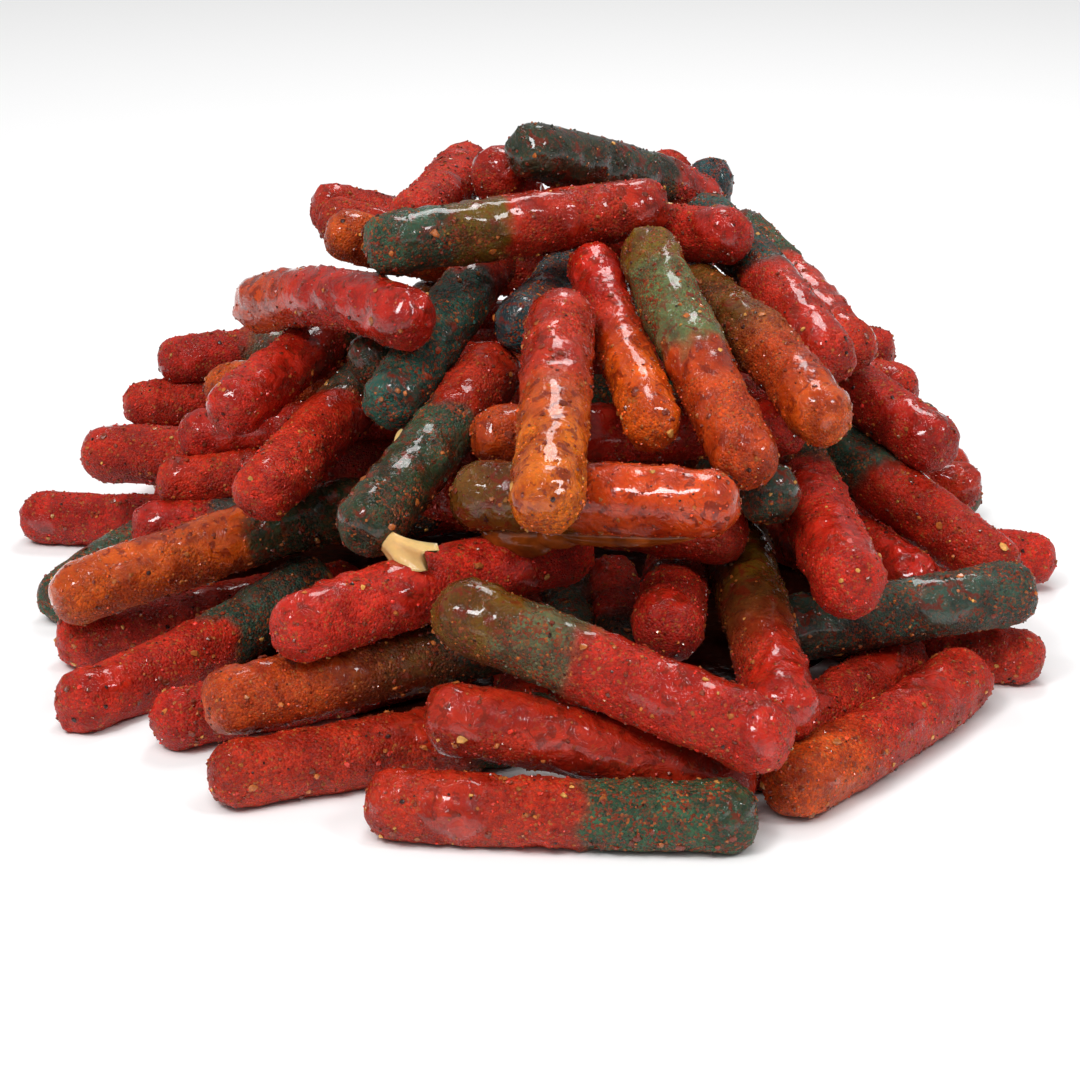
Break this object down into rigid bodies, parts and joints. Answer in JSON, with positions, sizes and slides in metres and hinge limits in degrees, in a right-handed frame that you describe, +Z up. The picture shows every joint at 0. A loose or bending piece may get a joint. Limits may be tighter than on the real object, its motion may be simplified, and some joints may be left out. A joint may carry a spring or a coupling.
{
  "type": "heap of coated gummy worms",
  "caption": "Heap of short round-ended two-tone gummy worms with a chilli and sugar coat, loose and stuck together, resting on a table.",
  "frame": {"origin": "on the table, under the middle of the heap's box", "axes": "+X along the heap's width, +Y towards its back, +Z up"},
  "size_m": [0.1725, 0.1712, 0.0751],
  "materials": {
    "red_gummy": "translucent red gummy under a coat of chilli and sugar grains",
    "orange_gummy": "translucent orange gummy under a coat of chilli and sugar grains, glossy where the syrup lies",
    "green_gummy": "dark green gummy under a coat of chilli and sugar grains",
    "olive_gummy": "olive brown gummy glazed with syrup",
    "teal_gummy": "dark teal gummy under a coat of chilli and sugar grains"
  },
  "bodies": {
    "heap": {"front_gloss_red": "red_gummy", "front_under_red": "red_gummy", "front_left_log": "red_gummy", "front_left_orange": "orange_gummy", "left_under_red": "red_gummy", "left_two_tone": "red_gummy", "middle_long_red": "red_gummy", "left_orange_dark": "orange_gummy", "left_low_red": "red_gummy", "far_left_bent": "green_gummy", "far_left_red": "red_gummy", "left_slope_red": "red_gummy", "valley_green": "green_gummy", "valley_teal": "teal_gummy", "valley_brown": "olive_gummy", "left_upper_red": "red_gummy", "belt_red": "red_gummy", "belt_glazed": "orange_gummy", "facing_red": "red_gummy", "lean_olive": "olive_gummy", "facing_green": "green_gummy", "slope_thin_amber": "orange_gummy", "slope_brown_amber": "red_gummy", "slope_crossing_red": "red_gummy", "gap_teal": "teal_gummy", "right_two_tone": "red_gummy", "far_right_red": "red_gummy", "right_low_red": "red_gummy", "right_slope_red": "red_gummy", "crown_right_red": "red_gummy", "crown_left_red": "red_gummy", "hollow_row": "red_gummy", "right_shelf_row": "red_gummy", "left_shelf_row": "red_gummy", "back_left_row": "red_gummy", "right_edge_row": "red_gummy", "upper_right_row": "red_gummy", "crown_left_row": "red_gummy", "back_low_left_row": "red_gummy", "back_low_middle_row": "red_gummy", "back_low_right_row": "red_gummy", "back_slope_left_row": "red_gummy", "back_slope_right_row": "red_gummy", "back_crest_row": "red_gummy", "core_low_row": "red_gummy", "core_high_row": "red_gummy"},
    "front_log": {"front_log": "red_gummy"},
    "front_olive_tip": {"front_olive_tip": "olive_gummy"},
    "front_right_log": {"front_right_log": "orange_gummy"},
    "glazed_drop": {"glazed_drop": "red_gummy"},
    "slope_olive_amber": {"slope_olive_amber": "olive_gummy"},
    "crown_long": {"crown_long": "red_gummy"},
    "crown_green": {"crown_green": "green_gummy"},
    "crown_facing_red": {"crown_facing_red": "red_gummy"},
    "crest_teal_red": {"crest_teal_red": "teal_gummy"},
    "crest_green_red": {"crest_green_red": "red_gummy"},
    "right_front_red": {"right_front_red": "red_gummy"},
    "right_green_log": {"right_green_log": "green_gummy"},
    "left_glossy_bend": {"left_glossy_bend": "red_gummy"},
    "left_shelf": {"left_shelf": "red_gummy"}
  },
  "joints": [
    {"name": "lift_front_log", "type": "slide", "parent": "heap", "child": "front_log", "axis": [0, -0.7071, 0.7071], "range_m": [0, 0.06]},
    {"name": "lift_front_olive_tip", "type": "slide", "parent": "heap", "child": "front_olive_tip", "axis": [0, -0.7071, 0.7071], "range_m": [0, 0.06]},
    {"name": "lift_front_right_log", "type": "slide", "parent": "heap", "child": "front_right_log", "axis": [0.3536, -0.6124, 0.7071], "range_m": [0, 0.06]},
    {"name": "lift_glazed_drop", "type": "slide", "parent": "heap", "child": "glazed_drop", "axis": [0, -0.5, 0.866], "range_m": [0, 0.06]},
    {"name": "lift_slope_olive_amber", "type": "slide", "parent": "heap", "child": "slope_olive_amber", "axis": [0, -0.5, 0.866], "range_m": [0, 0.06]},
    {"name": "lift_crown_long", "type": "slide", "parent": "heap", "child": "crown_long", "axis": [0, -0.5, 0.866], "range_m": [0, 0.06]},
    {"name": "lift_crown_green", "type": "slide", "parent": "heap", "child": "crown_green", "axis": [0.25, -0.067, 0.9659], "range_m": [0, 0.06]},
    {"name": "lift_crown_facing_red", "type": "slide", "parent": "heap", "child": "crown_facing_red", "axis": [0.183, 0.683, 0.7071], "range_m": [0, 0.06]},
    {"name": "lift_crest_teal_red", "type": "slide", "parent": "heap", "child": "crest_teal_red", "axis": [0.5, 0, 0.866], "range_m": [0, 0.06]},
    {"name": "lift_crest_green_red", "type": "slide", "parent": "heap", "child": "crest_green_red", "axis": [0.5, 0, 0.866], "range_m": [0, 0.06]},
    {"name": "lift_right_front_red", "type": "slide", "parent": "heap", "child": "right_front_red", "axis": [0.6124, -0.3536, 0.7071], "range_m": [0, 0.06]},
    {"name": "lift_right_green_log", "type": "slide", "parent": "heap", "child": "right_green_log", "axis": [0.8365, -0.2241, 0.5], "range_m": [0, 0.06]},
    {"name": "lift_left_glossy_bend", "type": "slide", "parent": "heap", "child": "left_glossy_bend", "axis": [-0.75, -0.433, 0.5], "range_m": [0, 0.06]},
    {"name": "lift_left_shelf", "type": "slide", "parent": "heap", "child": "left_shelf", "axis": [-0.6124, 0.6124, 0.5], "range_m": [0, 0.06]}
  ]
}
